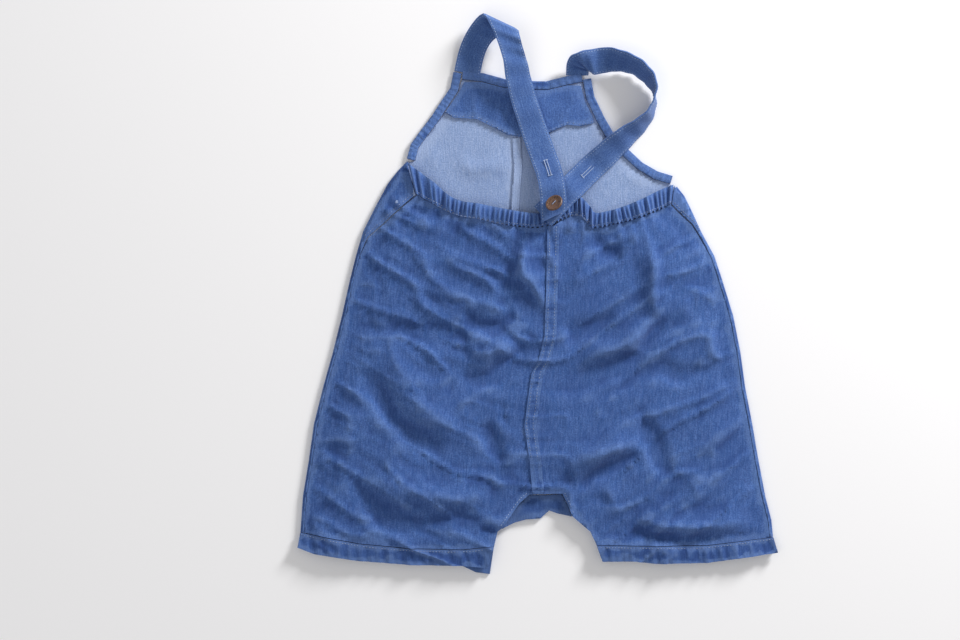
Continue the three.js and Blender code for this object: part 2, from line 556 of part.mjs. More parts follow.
// one strap: a ribbon of two layers of cloth through its sections
function strap(rows) {
  const centres = rows.map((row) => new THREE.Vector3(row.x, row.y, row.z));
  return loft(rows.map((row, k) => {
    const azimuth = toRadians(row.azimuth);
    const tilt = toRadians(row.tilt);
    const width = new THREE.Vector3(
      Math.cos(tilt) * Math.cos(azimuth), Math.cos(tilt) * Math.sin(azimuth), Math.sin(tilt));
    const ahead = centres[Math.min(k + 1, rows.length - 1)].clone().sub(centres[Math.max(k - 1, 0)]);
    const normal = ahead.cross(width).normalize().multiplyScalar(STRAP / 2);
    width.multiplyScalar(row.across / 2);
    return [[-1, -1], [1, -1], [1, 1], [-1, 1]].map(([side, face]) =>
      centres[k].clone().addScaledVector(width, side).addScaledVector(normal, face));
  }));
}
add("strap_left", strap(LEFT_STRAP), STRAP_DENIM);
add("strap_right", strap(RIGHT_STRAP), STRAP_DENIM);

// round coconut button with a raised rim and two thread holes
function button() {
  const radius = BUTTON_DIAMETER / 2;
  const profile = [
    [0, 0], [radius - 1.4, 0], [radius, 0.9], [radius, BUTTON - 0.6], [radius - 0.8, BUTTON],
    [radius - 2, BUTTON], [radius - 2.8, BUTTON - 0.8], [0, BUTTON - 0.8],
  ].map(([x, y]) => new THREE.Vector2(x, y));
  const disc = new THREE.LatheGeometry(profile, 32).rotateX(Math.PI / 2);
  let solid = asManifold(disc);
  for (const side of [-1, 1]) {
    const hole = new THREE.CylinderGeometry(0.9, 0.9, 3 * BUTTON, 12).rotateX(Math.PI / 2);
    solid = solid.subtract(asManifold(hole.translate(side * HOLE_OFFSET, 0, 0)));
  }
  return solid;
}
const buttonSolid = button();
add("button", buttonSolid, COCONUT);
const towards = toRadians(BUTTON_PLACE.leanTowards);
const leaning = toRadians(BUTTON_PLACE.lean);
const buttonNormal = new THREE.Vector3(
  Math.sin(leaning) * Math.cos(towards), Math.sin(leaning) * Math.sin(towards), Math.cos(leaning));
const buttonMesh = last(garment.children);
buttonMesh.quaternion.setFromUnitVectors(new THREE.Vector3(0, 0, 1), buttonNormal);
buttonMesh.position.set(BUTTON_PLACE.x, BUTTON_PLACE.y, BUTTON_PLACE.z);

export default garment;
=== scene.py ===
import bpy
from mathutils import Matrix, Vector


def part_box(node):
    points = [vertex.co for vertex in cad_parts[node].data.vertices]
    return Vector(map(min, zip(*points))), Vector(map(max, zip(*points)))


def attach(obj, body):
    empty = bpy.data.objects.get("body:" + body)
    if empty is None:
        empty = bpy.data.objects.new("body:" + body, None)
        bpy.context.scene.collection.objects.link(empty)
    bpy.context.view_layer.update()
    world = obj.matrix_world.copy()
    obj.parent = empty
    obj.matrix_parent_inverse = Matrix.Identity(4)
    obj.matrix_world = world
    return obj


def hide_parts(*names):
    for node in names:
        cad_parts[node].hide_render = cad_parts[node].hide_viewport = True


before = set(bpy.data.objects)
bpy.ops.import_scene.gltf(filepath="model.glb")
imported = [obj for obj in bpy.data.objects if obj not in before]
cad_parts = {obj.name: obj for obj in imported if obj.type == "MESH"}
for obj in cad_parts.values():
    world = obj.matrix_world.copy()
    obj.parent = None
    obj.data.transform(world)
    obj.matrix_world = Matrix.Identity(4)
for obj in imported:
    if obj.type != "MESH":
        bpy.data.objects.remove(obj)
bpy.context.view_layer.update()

import math

import bmesh
import bpy
import numpy as np
from mathutils import Vector

bl_info = {
    "name": "Suspender shorts",
    "version": (1, 0, 0),
    "blender": (4, 5, 0),
    "location": "3D View > Sidebar > Shorts",
    "description": "Makes the cloth, stitches and button of a baby's denim suspender shorts",
    "category": "Object",
}

MM = 0.001

# widths of the strips' cloth, in metres
FELL_CUT = 0.0125
BINDING_CUT = 0.01  # the least width that a sheet may state; 7 mm of it shows
BACK_HEM_CUT = 0.018
FRONT_HEM_CUT = 0.02
CASING_CUT = 0.014

# how the button lies: its axis leans by the tilt towards the azimuth, in degrees
BUTTON_AZIMUTH = 131
BUTTON_TILT = 40
BUTTON_THICKNESS = 2.6

# ---------------------------------------------------------------- lines on the garment, in millimetres

# side edges, from the underarm to the hem
LEFT_EDGE = (
    (-110.5, 113.5), (-119, 104.5), (-126.7, 94.5), (-137.7, 74), (-147.9, 53.5), (-153.9, 33),
    (-159, 12.5), (-165.8, -18), (-173.4, -48.5), (-181.9, -79), (-189.6, -110), (-193.8, -140),
    (-198.9, -171), (-201, -201.5),
)
RIGHT_EDGE = (
    (118.7, 92), (125, 84), (130, 74), (139.4, 53.5), (150.5, 33), (157.3, 12.5), (166.6, -18),
    (172.6, -48.5), (176.8, -79), (182.8, -110), (187.9, -140), (193.8, -171), (198.9, -191),
    (200.4, -205.5),
)
# seams
LEFT_SIDE_SEAM = (
    (-102.9, 85), (-110.5, 79), (-117.3, 73), (-131, 60.4), (-144.2, 49),
)
RIGHT_SIDE_SEAM = (
    (114.4, 77), (122.4, 68.9), (131.8, 60.4), (136.8, 52.5),
)
BACK_SEAM = (
    (18.7, 58.4), (17.4, 4), (16.2, -34), (11, -55.5), (5, -67), (0.9, -97), (-0.9, -111.5),
    (3.4, -140), (6, -168.8),
)
FRONT_SEAM = (
    (-14, 173.9), (-17.4, 134), (-16.2, 111), (-19, 73), (-8, -60), (6, -168.8),
)
LEFT_HEM_LINE = (
    (-201, -201.5), (-151.3, -210.8), (-108, -215), (-63.8, -216), (-36.6, -213.2),
)
RIGHT_HEM_LINE = (
    (50.4, -212.2), (101.2, -213), (143.7, -212.5), (200.4, -205.5),
)
LEFT_INSEAM = (
    (-7, -169.4), (-15.3, -177), (-29.8, -197.6), (-33.6, -200.6), (-36.6, -213.2),
)
RIGHT_INSEAM = (
    (21.3, -168.6), (25.5, -177), (29.6, -187.4), (45, -200.6), (50.4, -212.2),
)
# bindings, and the lower edge of the facing
LEFT_ARMHOLE = (
    (-67.6, 188.5), (-70.4, 174.5), (-78.5, 162.5), (-86.2, 150.5), (-96.8, 136.4), (-104.2, 126.2),
    (-107.2, 114.8),
)
RIGHT_ARMHOLE = (
    (42.3, 183.2), (45.2, 167.4), (53.9, 149.2), (63.3, 133), (75.7, 120.3), (87.4, 109.4),
    (101, 101.6), (114, 97.6),
)
NECK = (
    (-63.4, 186.7), (-45.9, 184.6), (-27.2, 179.6), (-5.1, 178), (8, 177.8), (24.7, 181.8),
    (38, 184.4),
)
FACING_EDGE = (
    (-78.2, 154.7), (-70.6, 150.5), (-51, 149.2), (-36.6, 142), (-25.5, 136), (-15.3, 134.3),
    (-2, 135), (11.9, 138.6), (25.5, 144.5), (37.4, 143.2), (48, 146),
)
# elastic casing: lower edge x, y, upper edge x, y, lift
CASING_ROWS = (
    (-103.2, 86.2, -109.4, 111.5, 0), (-95, 81, -98, 103, 0.3), (-85, 75.8, -86, 94, 0.6),
    (-76, 71, -75, 84.3, 0.9), (-65, 67, -64, 79.4, 0.9), (-50, 64.6, -49, 77, 0.9),
    (-30, 60.2, -28.5, 73, 0.8), (-15, 58, -14, 70.5, 0.6), (0, 57, 0, 69, 0.3),
    (12, 60, 9, 71.5, 0.3), (22, 64.5, 19, 76, 0.3), (31, 68, 31, 81, 0.3), (38, 66.5, 37, 82.5, 0.5),
    (44, 59.5, 44.5, 75, 1), (48.5, 56.8, 49, 69.5, 0.9), (60, 59, 60, 71, 0.9),
    (75, 62.2, 72, 74.5, 0.9), (90, 67, 87, 80.5, 0.6), (100, 71, 98, 86, 0.4),
    (108, 74.6, 107, 90.2, 0.2), (113.7, 77.8, 115.6, 93.5, 0),
)
# sections of the straps: middle x, y, z, azimuth and tilt of the width in degrees, length across
LEFT_STRAP = (
    (-58.9, 190.9, 1.4, 170, 0, 22), (-56.2, 203, 2.6, 163, 0, 22), (-52.2, 213.5, 4.6, 157, 0, 22),
    (-46.6, 221.8, 7, 150, 0, 23), (-40, 227.2, 9.6, 146, 0, 26), (-33.6, 229.8, 12.6, 152, 0, 30),
    (-31, 229.4, 16, 156, 0, 31), (-29, 225.6, 18.8, 156, 0, 29), (-25.8, 217.6, 20, 160, 0, 25),
    (-22.4, 208, 19, 165, 8, 22.5), (-19, 197, 16.4, 173, 20, 22), (-15.8, 181.5, 12, 186, 16, 22),
    (-10.6, 163, 7.6, 192, 8, 22), (-4.4, 144.5, 5.2, 199, 0, 22), (3.8, 121, 6.4, 199, 0, 22),
    (9.6, 104.5, 10.4, 196, 0, 22), (12.6, 90, 13.8, 187, -4, 22), (13.4, 78, 15, 184, -6, 22),
    (13.4, 65.7, 14.8, 206, -5, 22.6),
)
RIGHT_STRAP = (
    (34.2, 189.4, 1.4, 180, 0, 19), (34.4, 193.4, 4.4, 166, 14, 20), (36, 195.8, 8, 148, 30, 22),
    (40.4, 197, 10, 120, 36, 22), (47.4, 196.8, 9.4, 98, 18, 22), (57.6, 198.6, 8.6, 92, 22, 22),
    (66.8, 198.4, 9.6, 84, 40, 22), (76.2, 195.8, 10.6, 70, 51, 22), (86, 191, 11.6, 52, 60, 22),
    (93.8, 183.6, 12.2, 40, 67, 22), (97.9, 175, 12.6, 20, 80, 22), (99.2, 166, 12.6, 4, 97, 22),
    (97.2, 156.6, 12.2, -20, 106, 22), (90.8, 147.4, 11.6, -36, 117, 22),
    (81.2, 138.6, 10.4, -43, 131, 22), (70, 129.6, 10.4, -46, 147, 22),
    (56.4, 117.4, 7.4, -47, 163, 22), (43, 105, 6.4, -47, 174, 22), (31.4, 93.2, 9.4, -47, 178, 22),
    (19.4, 81.2, 10.4, -48, 180, 22), (4.6, 66.4, 10.2, -48, 180, 22),
)
# Large folds of the loose back: height, half-width to the left and right, points.
FOLDS = (
    (2.6, 12, 7, ((-11, 53), (-13, 26), (-2, 4), (6, -14))),
    (-2.2, 9, 12, ((-80, 66), (-104, 68), (-120, 58))),
    (2.0, 9, 10, ((-103, 76), (-117, 66), (-130, 54))),
    (-2.6, 8, 9, ((-64, -13), (-52, -24), (-34, -25), (-15, -15))),
    (-2.4, 10, 13, ((-155, -26), (-110, -30), (-72, -32), (-49, -36))),
    (-2.8, 8, 12, ((-70, -68), (-42, -70), (-27, -60), (-4, -38))),
    (2.4, 16, 14, ((-60, -50), (-35, -48), (-20, -40))),
    (-2.8, 10, 12, ((-150, -64), (-137, -84), (-102, -120), (-76, -136))),
    (2.2, 18, 16, ((-130, -66), (-95, -96), (-66, -112))),
    (-2.2, 8, 10, ((-48, -106), (-40, -124), (-30, -154))),
    (2.8, 18, 16, ((-150, -142), (-116, -166), (-70, -172), (-34, -168))),
    (-2.8, 12, 12, ((-160, -156), (-134, -183), (-108, -191), (-36, -189))),
    (-2.4, 9, 9, ((48, 52), (57, 41), (69, 28))),
    (2.2, 8, 12, ((94, 56), (98, 16), (100, -20))),
    (-2.4, 10, 9, ((96, 66), (115, 66), (134, 50))),
    (-2.2, 10, 14, ((20, -34), (37, -28), (67, -17))),
    (2.6, 14, 14, ((102, -24), (70, -44), (36, -58))),
    (-3.0, 10, 14, ((129, -15), (98, -37), (73, -57), (37, -76), (9, -90))),
    (-1.8, 9, 10, ((158, -60), (125, -69), (101, -65), (48, -88))),
    (-2.4, 10, 9, ((82, -94), (101, -131), (110, -158))),
    (2.6, 14, 16, ((24, -148), (58, -134), (86, -122))),
    (-2.6, 12, 9, ((86, -132), (59, -147), (26, -166))),
    (2.4, 12, 14, ((84, -190), (124, -198), (186, -194))),
    (-2.4, 10, 8, ((54, -200), (101, -204), (124, -209), (195, -203))),
)

# Small creases that only show in fine cloth: height, half-width to the left and right, points.
CREASES = (
    (1.6, 3, 5, ((-23, -3), (-18, 13), (-13.6, 27), (-12, 50))),
    (-1.5, 3.5, 3, ((-79, -3), (-67, -5.5), (-55, -3))),
    (1.6, 5, 3, ((-56, -5), (-36, -11), (-23, -15))),
    (-1.4, 4, 3, ((-100, 2), (-91, -4), (-72, -14))),
    (-1.8, 5, 4, ((-18, -36), (-10, -35), (2, -38))),
    (-0.9, 5, 4, ((-138, 16), (-133, 5), (-132, -5))),
    (-0.9, 3, 5, ((-143, -4), (-140, -22), (-134, -38))),
    (1.0, 3, 3, ((-151, -54), (-130, -69), (-88, -86))),
    (1.5, 4, 3, ((-13, -72), (-44, -81), (-55, -87), (-65, -93), (-54, -108))),
    (-1.0, 4, 5, ((-76, -50), (-76, -72), (-70, -83))),
    (-1.2, 4, 3, ((-33, -86), (-30, -104), (-24, -118))),
    (-1.6, 4, 4, ((-50, -200), (-42, -199), (-34, -201))),
    (-1.5, 3, 4, ((0, 54), (-4, 48), (-8, 42))),
    (-1.2, 5, 4, ((57, 51), (66, 48), (76, 47))),
    (1.4, 3, 4, ((35, 69), (38, 57), (38, 40))),
    (1.2, 3, 4, ((122, 5), (130, 5), (146, -3), (158, -10))),
    (-1.2, 3, 4, ((130, 2), (131, -8), (129, -15))),
    (1.2, 3, 3, ((122, -18), (104, -33), (90, -43))),
    (-1.0, 6, 4, ((146, -31), (158, -29), (166, -30))),
    (-1.3, 3, 5, ((161, -66), (169, -85), (173, -96))),
    (1.0, 3, 3, ((30, -140), (60, -130), (88, -129))),
    (0.9, 3, 3, ((121, -151), (133, -163), (138, -174))),
    (-1.0, 6, 5, ((40, -172), (58, -175), (80, -172))),
    (-0.8, 5, 5, ((96, -168), (112, -172), (126, -166))),
)
# Soft folds of the bib, seen from the inside
BIB_FOLDS = (
    (2.4, 9, 7, ((-72, 115), (-55, 105), (-37, 108), (-20, 116))),
    (1.4, 7, 9, ((40, 180), (28, 160), (12, 144))),
    (1.2, 6, 6, ((-58, 176), (-55, 160), (-56, 148))),
    (1.0, 6, 6, ((-35, 170), (-33, 156), (-40, 144))),
    (0.9, 8, 6, ((66, 104), (84, 98), (98, 97))),
    (1.0, 7, 8, ((-92, 126), (-88, 112), (-95, 104))),
)


def smooth(value):
    value = np.clip(value, 0.0, 1.0)
    return value * value * (3.0 - 2.0 * value)


def nearest(points, x, y):
    """Distance to a line of points, the side it is on and the share of the way along it."""
    best = np.full(x.shape, 1e9)
    side = np.ones(x.shape)
    along = np.zeros(x.shape)
    total = len(points) - 1
    for index in range(total):
        (ax, ay), (bx, by) = points[index], points[index + 1]
        dx, dy = bx - ax, by - ay
        part = np.clip(((x - ax) * dx + (y - ay) * dy) / (dx * dx + dy * dy), 0.0, 1.0)
        distance = np.hypot(x - ax - part * dx, y - ay - part * dy)
        closer = distance < best
        best = np.where(closer, distance, best)
        side = np.where(closer, np.where(dx * (y - ay) - dy * (x - ax) < 0, -1.0, 1.0), side)
        along = np.where(closer, (index + part) / total, along)
    return best, side, along


def rounded(points, steps=6):
    """A line of points made into a smooth curve through them."""
    ends = [points[0], *points, points[-1]]
    curve = []
    for index in range(1, len(ends) - 2):
        p0, p1, p2, p3 = (np.array(ends[index + k], float) for k in (-1, 0, 1, 2))
        for step in range(steps):
            t = step / steps
            curve.append(tuple(0.5 * (2 * p1 + (p2 - p0) * t + (2 * p0 - 5 * p1 + 4 * p2 - p3) * t * t
                                      + (3 * p1 - p0 - 3 * p2 + p3) * t ** 3)))
    return [*curve, tuple(map(float, points[-1]))]


LATTICE = np.random.default_rng(11).random((64, 64))


def noise(x, y):
    """Smooth noise from 0 to 1 with one wave to a unit."""
    i, j = np.floor(x).astype(int), np.floor(y).astype(int)
    u, v = smooth(x - i), smooth(y - j)
    a, b = LATTICE[i % 64, j % 64], LATTICE[(i + 1) % 64, j % 64]
    c, d = LATTICE[i % 64, (j + 1) % 64], LATTICE[(i + 1) % 64, (j + 1) % 64]
    return (a * (1 - u) + b * u) * (1 - v) + (c * (1 - u) + d * u) * v


def drag_lines(x, y):
    """Small broken creases that run out and down from the crotch and the centre seam."""
    turn = np.radians(np.where(x < 3, -28, 34) * smooth(np.abs(x - 3) / 40))
    along = x * np.cos(turn) + y * np.sin(turn)
    across = y * np.cos(turn) - x * np.sin(turn)
    across = across + 9 * noise(x / 37 + 5, y / 37)
    broad = noise(along / 62, across / 15)
    narrow = noise(along / 30 + 9, across / 7.5)
    crease = 1 - np.abs(2 * broad - 1)
    small = 1 - np.abs(2 * narrow - 1)
    return 2.9 * crease ** 5 - 0.5 + 1.0 * small ** 5


def fold_sum(folds, x, y, steps=4):
    height = np.zeros(x.shape)
    x, y = x + 5 * noise(x / 17, y / 17) - 2.5, y + 5 * noise(x / 17 + 30, y / 17) - 2.5
    for rise, left, right, points in folds:
        distance, side, along = nearest(rounded(points, steps), x, y)
        width = np.where(side > 0, left, right)
        ends = smooth(0.05 + 2.4 * np.minimum(along, 1 - along))
        height += rise * np.clip(1 - np.hypot(distance, 0.6) / (1.45 * width), 0, 1) ** 1.7 * ends
    return height


def back_height(x, y):
    """Underside of the back panels: the loose cloth, its folds, creases and gathers."""
    edge = np.minimum(nearest(LEFT_EDGE, x, y)[0], nearest(RIGHT_EDGE, x, y)[0])
    loose = smooth((edge - 3) / 34)
    near_edge = smooth((edge - 3) / 10)
    height = 3.2 * loose + 3.0 * fold_sum(FOLDS, x, y) * near_edge * (0.5 + 0.5 * smooth((62 - y) / 34))
    height += 1.5 * fold_sum(CREASES, x, y, 3) * near_edge
    below, _, along = nearest([(row[0], row[1]) for row in CASING_ROWS], x, y)
    gathers = np.sin(along * 150 + 2.2 * np.sin(along * 31)) + 0.6 * np.sin(along * 83 + 1)
    height += 0.85 * gathers * np.exp(-below / 15) * near_edge
    height += drag_lines(x, y) * near_edge
    return 2.4 + np.log1p(np.exp(2.2 * height)) / 2.2 - math.log(2) / 2.2 * (1 - loose)


def bib_height(x, y):
    """How far the soft folds lift the inside of the bib."""
    upper = smooth((y - 84) / 14)
    ripple = 0.18 * np.sin(x / 5.3 + np.sin(y / 13)) * np.sin(y / 8.1)
    return upper * np.maximum(fold_sum(BIB_FOLDS, x, y) + ripple, 0)


# ---------------------------------------------------------------- making meshes

def deselect():
    if bpy.context.object and bpy.context.object.mode != "OBJECT":
        bpy.ops.object.mode_set(mode="OBJECT")
    bpy.ops.object.select_all(action="DESELECT")


def new_object(name, vertices, faces, uvs=None):
    mesh = bpy.data.meshes.new(name)
    mesh.from_pydata([tuple(v) for v in vertices], [], faces)
    piece = bpy.data.objects.new(name, mesh)
    bpy.context.scene.collection.objects.link(piece)
    if uvs is not None:
        layer = mesh.uv_layers.new(name="cloth")
        for loop in mesh.loops:
            layer.data[loop.index].uv = uvs[loop.vertex_index]
    mesh.validate()
    return piece


def finish_mesh(piece, angle=50):
    """Doubles merged, faces outward, smooth shading up to an angle."""
    body = bmesh.new()
    body.from_mesh(piece.data)
    bmesh.ops.remove_doubles(body, verts=body.verts, dist=2e-6)
    bmesh.ops.dissolve_degenerate(body, edges=body.edges, dist=1e-6)
    bmesh.ops.recalc_face_normals(body, faces=body.faces)
    body.to_mesh(piece.data)
    body.free()
    deselect()
    piece.select_set(True)
    bpy.context.view_layer.objects.active = piece
    bpy.ops.object.shade_smooth_by_angle(angle=math.radians(angle))
    piece.select_set(False)


def fine_copy(node, name, pitch, reshape):
    """A node's solid cut into small cells and given its fine shape by reshape(x, y, z, up)."""
    body = bmesh.new()
    body.from_mesh(frame_object(node).data)
    bmesh.ops.remove_doubles(body, verts=body.verts, dist=1e-6)
    bmesh.ops.dissolve_limit(body, angle_limit=math.radians(0.02), verts=body.verts, edges=body.edges)
    low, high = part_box(node)
    for axis in (0, 1):
        normal = Vector((1, 0, 0) if axis == 0 else (0, 1, 0))
        place = math.floor(low[axis] / pitch) * pitch + pitch
        while place < high[axis]:
            parts = body.verts[:] + body.edges[:] + body.faces[:]
            bmesh.ops.bisect_plane(body, geom=parts, plane_co=normal * place, plane_no=normal, dist=2e-5)
            place += pitch
    body.normal_update()
    places = np.array([v.co for v in body.verts]) / MM
    up = np.array([v.normal.z for v in body.verts]) > 0.02
    x, y, z = reshape(places[:, 0], places[:, 1], places[:, 2], up)
    for vertex, px, py, pz in zip(body.verts, x, y, z):
        vertex.co = (px * MM, py * MM, pz * MM)
    mesh = bpy.data.meshes.new(name)
    body.to_mesh(mesh)
    body.free()
    piece = bpy.data.objects.new(name, mesh)
    bpy.context.scene.collection.objects.link(piece)
    finish_mesh(piece)
    return piece


def frame_object(node):
    return bpy.data.objects[node]


def store_wear_and_painted_light(piece, scale):
    """Stores how much each point stands out: raised points are painted pale (rubbed cotton and painted
    highlight), hollows dark (painted shade).
    """
    mesh = piece.data
    count = len(mesh.vertices)
    places = np.empty(count * 3)
    normals = np.empty(count * 3)
    mesh.vertices.foreach_get("co", places)
    mesh.vertices.foreach_get("normal", normals)
    places, normals = places.reshape(-1, 3), normals.reshape(-1, 3)
    ends = np.empty(len(mesh.edges) * 2, int)
    mesh.edges.foreach_get("vertices", ends)
    a, b = ends[0::2], ends[1::2]
    total, number = np.zeros(count), np.zeros(count)
    step = places[b] - places[a]
    length = np.maximum(np.linalg.norm(step, axis=1), 1e-6)
    bend = np.einsum("ij,ij->i", normals[b] - normals[a], step) / length ** 2
    np.add.at(total, a, bend)
    np.add.at(total, b, bend)
    np.add.at(number, a, 1)
    np.add.at(number, b, 1)
    value = total / np.maximum(number, 1)
    for _ in range(3):
        spread, share = value.copy(), np.ones(count)
        np.add.at(spread, a, value[b])
        np.add.at(spread, b, value[a])
        np.add.at(share, a, 1)
        np.add.at(share, b, 1)
        value = spread / share
    # Curvature per point: above one half the denim paints it pale as rubbed cotton and painted highlight,
    # below one half dark as painted shade.
    layer = mesh.attributes.new("wear_and_painted_light", "FLOAT", "POINT")
    layer.data.foreach_set("value", np.clip(0.5 + value * scale, 0, 1).astype(np.float32))


def ribbon(name, sections, thickness, across_cells=10):
    """A flat band through sections (middle, width vector, normal), with rounded edges and a cloth UV."""
    points, uvs, faces = [], [], []
    ring = []
    for k in range(across_cells + 1):
        u = 2 * k / across_cells - 1
        ring.append((u, 1))
    ring = ring + [(-u, -1) for u, _ in ring]
    travelled = 0.0
    for row, (middle, width, normal) in enumerate(sections):
        if row:
            travelled += (middle - sections[row - 1][0]).length
        for u, face in ring:
            thin = 0.62 if abs(u) > 0.99 else 1.0
            points.append(middle + width * u + normal * (face * thickness / 2 * thin))
            uvs.append((u * width.length, travelled))
    size = len(ring)
    for row in range(len(sections) - 1):
        for k in range(size):
            a, b = row * size + k, row * size + (k + 1) % size
            faces.append((a, b, b + size, a + size))
    faces.append(tuple(range(size)))
    end = (len(sections) - 1) * size
    faces.append(tuple(end + k for k in reversed(range(size))))
    piece = new_object(name, points, faces, uvs)
    finish_mesh(piece, 60)
    return piece


def strap_sections(rows, steps):
    """Finely spaced sections of a strap, curved through the rows of its table."""
    fine = np.array(rounded([row[:3] for row in rows], steps))
    turns = np.array(rounded([row[3:6] for row in rows], steps))
    sections = []
    for k, (place, (azimuth, tilt, across)) in enumerate(zip(fine, turns)):
        azimuth, tilt = math.radians(azimuth), math.radians(tilt)
        level = math.cos(tilt)
        width = Vector((level * math.cos(azimuth), level * math.sin(azimuth), math.sin(tilt)))
        ahead = Vector(fine[min(k + 1, len(fine) - 1)]) - Vector(fine[max(k - 1, 0)])
        normal = ahead.cross(width).normalized()
        wave = 0.35 * math.sin(k * 0.9) + 0.25 * math.sin(k * 0.37 + 1)
        sections.append(((Vector(place) + normal * wave) * MM, width * (across / 2 * MM), normal))
    return sections


def stitches(name, runs, pitch, length, thread):
    """A row of stitches along each run of (place, normal) points: small six-sided grains, one mesh."""
    points, faces = [], []
    for run in runs:
        gone, due = 0.0, pitch / 2
        for (a, normal_a), (b, _) in zip(run, run[1:]):
            step = (b - a).length
            while step > 0 and due <= gone + step:
                place = a.lerp(b, (due - gone) / step)
                along = (b - a).normalized()
                side = normal_a.cross(along).normalized()
                first = len(points)
                points.append(place - along * length / 2 - normal_a * thread * 0.3)
                for height, aside in ((0.5, 0), (0, 0.5), (-0.5, 0), (0, -0.5)):
                    points.append(place + normal_a * thread * height + side * thread * aside)
                points.append(place + along * length / 2 - normal_a * thread * 0.3)
                for k in range(4):
                    p, q = first + 1 + k, first + 1 + (k + 1) % 4
                    faces.append((first, p, q))
                    faces.append((first + 5, q, p))
                due += pitch
            gone += step
    piece = new_object(name, points, faces)
    finish_mesh(piece, 80)
    return piece


# ---------------------------------------------------------------- materials

def linear(code):
    """An sRGB hex colour as linear RGBA."""
    parts = [int(code[k:k + 2], 16) / 255 for k in (1, 3, 5)]
    return (*(c / 12.92 if c <= 0.04045 else ((c + 0.055) / 1.055) ** 2.4 for c in parts), 1.0)


def node(tree, kind, settings=None, **links):
    """Adds a node; settings are its properties or socket values, links are sockets to join."""
    made = tree.nodes.new(kind)
    for key, value in (settings or {}).items():
        if key in made.inputs:
            made.inputs[key].default_value = value
        else:
            setattr(made, key, value)
    for key, source in links.items():
        target = made.inputs[int(key[1:])] if key[0] == "i" and key[1:].isdigit() else made.inputs[key]
        tree.links.new(source, target)
    return made


def mix(tree, factor, first, second, blend="MIX"):
    made = node(tree, "ShaderNodeMix", {"data_type": "RGBA", "blend_type": blend})
    for socket, value in ((made.inputs[0], factor), (made.inputs[6], first), (made.inputs[7], second)):
        if isinstance(value, bpy.types.NodeSocket):
            tree.links.new(value, socket)
        else:
            socket.default_value = value
    return made.outputs[2]


def denim(name, main, dark, pale, streak, uses_uv=False, wear_and_painted_light=0.35, grain_turn=0.0):
    """Woven cotton denim, stone-washed: a pale weft under an indigo warp, so slubs run as pale streaks
    along the warp. Raised folds and turned edges are painted pale, as rubbed cotton and as painted highlight,
    and hollows get painted shade."""
    material = bpy.data.materials.new(name)
    material.use_nodes = True
    tree = material.node_tree
    tree.nodes.clear()
    place = node(tree, "ShaderNodeTexCoord").outputs["UV" if uses_uv else "Object"]
    turned = node(tree, "ShaderNodeMapping", {"Rotation": (0, 0, grain_turn)}, Vector=place).outputs[0]
    # warp slubs 1.2 mm wide and about 9 mm long; threads of 0.4 mm are drawn 0.9 mm so that they show
    slub = node(tree, "ShaderNodeMapping", {"Scale": (1 / 0.0012, 1 / 0.009, 1 / 0.009)}, Vector=turned)
    slubs = node(tree, "ShaderNodeTexNoise", {"Scale": 1.0, "Detail": 3.0}, Vector=slub.outputs[0])
    thread = node(tree, "ShaderNodeTexNoise", {"Scale": 1 / 0.0011, "Detail": 2.0}, Vector=turned)
    cloudy = node(tree, "ShaderNodeTexNoise", {"Scale": 1 / 0.03, "Detail": 3.0}, Vector=turned)
    ramp = node(tree, "ShaderNodeValToRGB", Fac=slubs.outputs["Fac"])
    ramp.color_ramp.elements[0].position, ramp.color_ramp.elements[1].position = 0.34, 0.68
    fine = node(tree, "ShaderNodeValToRGB", Fac=thread.outputs["Fac"])
    fine.color_ramp.elements[0].position, fine.color_ramp.elements[1].position = 0.36, 0.66
    base = mix(tree, ramp.outputs[0], linear(main), linear(streak))
    speck = node(tree, "ShaderNodeMath", {"operation": "MULTIPLY"}, Value=fine.outputs[0])
    speck.inputs[1].default_value = 0.6
    base = mix(tree, speck.outputs[0], base, linear(dark))
    cloud = node(tree, "ShaderNodeMapRange", {
        "From Min": 0.35, "From Max": 0.7, "To Min": 0.0, "To Max": 0.3},
                 Value=cloudy.outputs["Fac"])
    base = mix(tree, cloud.outputs[0], base, linear(dark))
    # Painted light from the mesh's curvature: raised points are mixed towards the pale colour (rubbed cotton
    # and painted highlight), hollows towards the dark colour (painted shade).
    painted_light_and_wear_value = node(tree, "ShaderNodeAttribute", {"attribute_name": "wear_and_painted_light"}).outputs["Fac"]
    light = node(tree, "ShaderNodeMapRange", {"From Min": 0.54, "From Max": 0.95, "To Max": wear_and_painted_light}, Value=painted_light_and_wear_value)
    # painted shade: hollows of the folds darkened towards the dark indigo
    shade = node(tree, "ShaderNodeMapRange", {"From Min": 0.46, "From Max": 0.08, "To Max": 0.5}, Value=painted_light_and_wear_value)
    base = mix(tree, light.outputs[0], base, linear(pale))
    base = mix(tree, shade.outputs[0], base, linear(dark))
    height = node(tree, "ShaderNodeMath", {"operation": "ADD"}, Value=slubs.outputs["Fac"])
    tree.links.new(thread.outputs["Fac"], height.inputs[1])
    bump = node(tree, "ShaderNodeBump", {"Strength": 0.55, "Distance": 0.0004}, Height=height.outputs[0])
    shader = node(tree, "ShaderNodeBsdfPrincipled", {
        "Roughness": 0.92, "IOR": 1.5, "Specular IOR Level": 0.2, "Sheen Weight": 0.15,
        "Sheen Roughness": 0.5,
        "Base Color": linear(main)}, Normal=bump.outputs[0])
    tree.links.new(base, shader.inputs["Base Color"])
    node(tree, "ShaderNodeOutputMaterial", Surface=shader.outputs[0])
    return material


